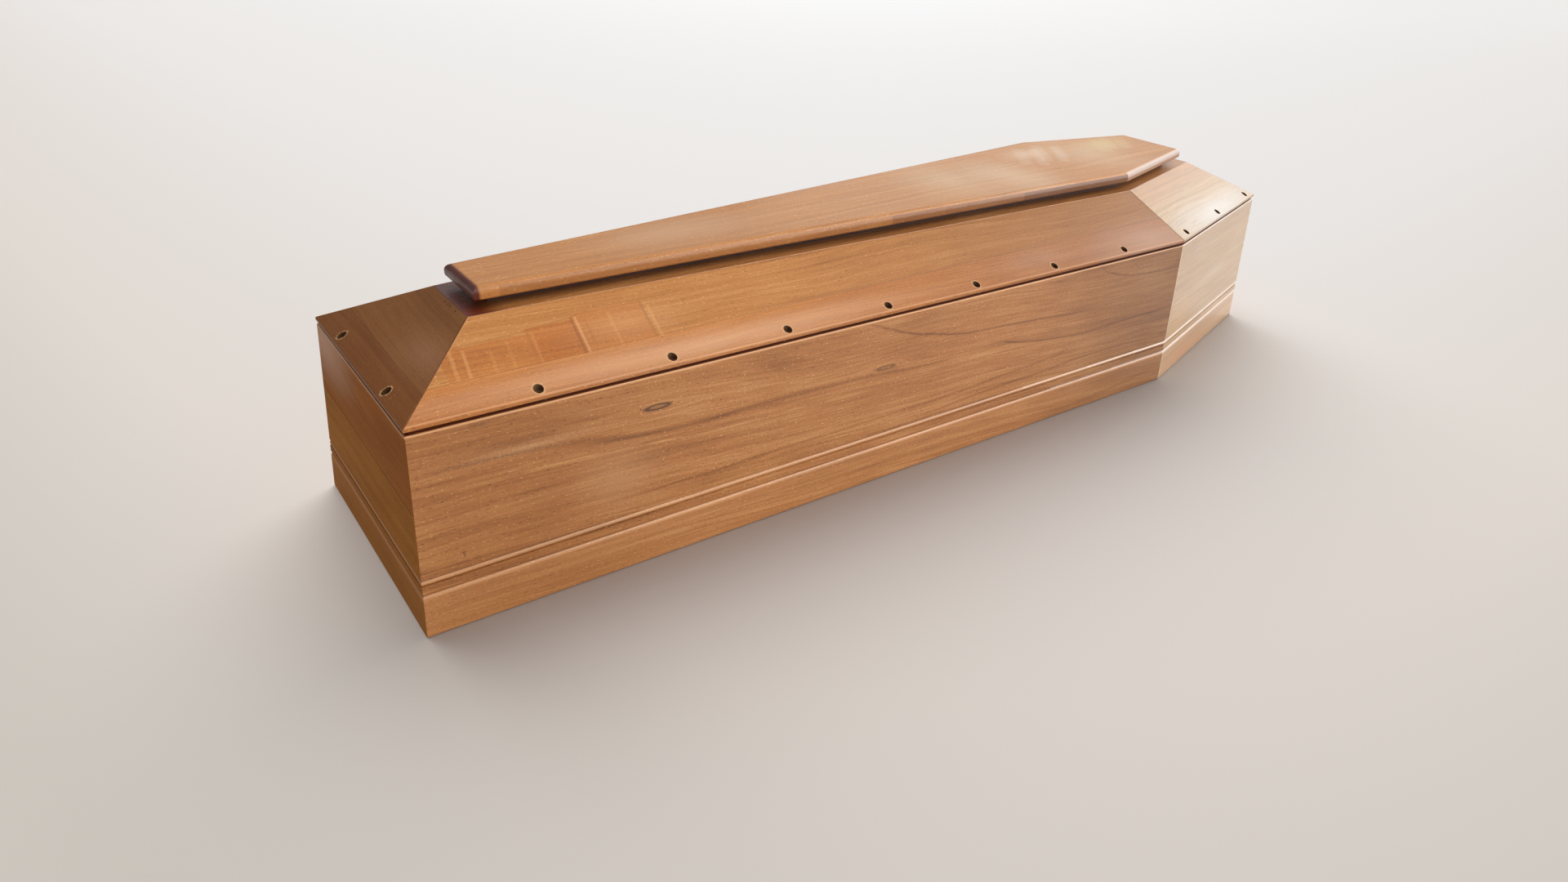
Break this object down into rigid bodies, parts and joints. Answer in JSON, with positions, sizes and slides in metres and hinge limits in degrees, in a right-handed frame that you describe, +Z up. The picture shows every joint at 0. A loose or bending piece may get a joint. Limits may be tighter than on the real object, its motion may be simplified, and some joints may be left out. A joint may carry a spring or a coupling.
{
  "type": "wooden coffin",
  "caption": "Shouldered wooden coffin with leaning mitred walls, a milled moulding round the base, and a hipped lid with a raised flat cap board.",
  "frame": {"origin": "middle of the underside's bounding box, on the floor", "axes": "+X along the length towards the head, +Z up, +Y across, towards the side whose boards are named right; the plane y = 0 is its plane of symmetry"},
  "size_m": [2.0018, 0.632, 0.3985],
  "materials": {
    "bottom_wood": "plain planed board, thinly stained",
    "wall_wood": "solid hardwood, walnut stain under satin lacquer",
    "foot_wood": "solid hardwood, walnut stain under satin lacquer",
    "lid_wood": "solid hardwood, walnut stain under satin lacquer",
    "cap_wood": "solid hardwood, walnut stain under satin lacquer"
  },
  "bodies": {
    "root": {"bottom_board": "bottom_wood", "foot_wall": "foot_wood", "head_wall": "wall_wood", "left_long_wall": "wall_wood", "right_long_wall": "wall_wood", "left_shoulder_wall": "wall_wood", "right_shoulder_wall": "wall_wood", "lid_foot_panel": "lid_wood", "lid_head_panel": "lid_wood", "lid_left_long_panel": "lid_wood", "lid_right_long_panel": "lid_wood", "lid_left_shoulder_panel": "lid_wood", "lid_right_shoulder_panel": "lid_wood", "lid_top_board": "lid_wood", "lid_riser": "lid_wood", "lid_cap": "cap_wood"}
  },
  "joints": []
}
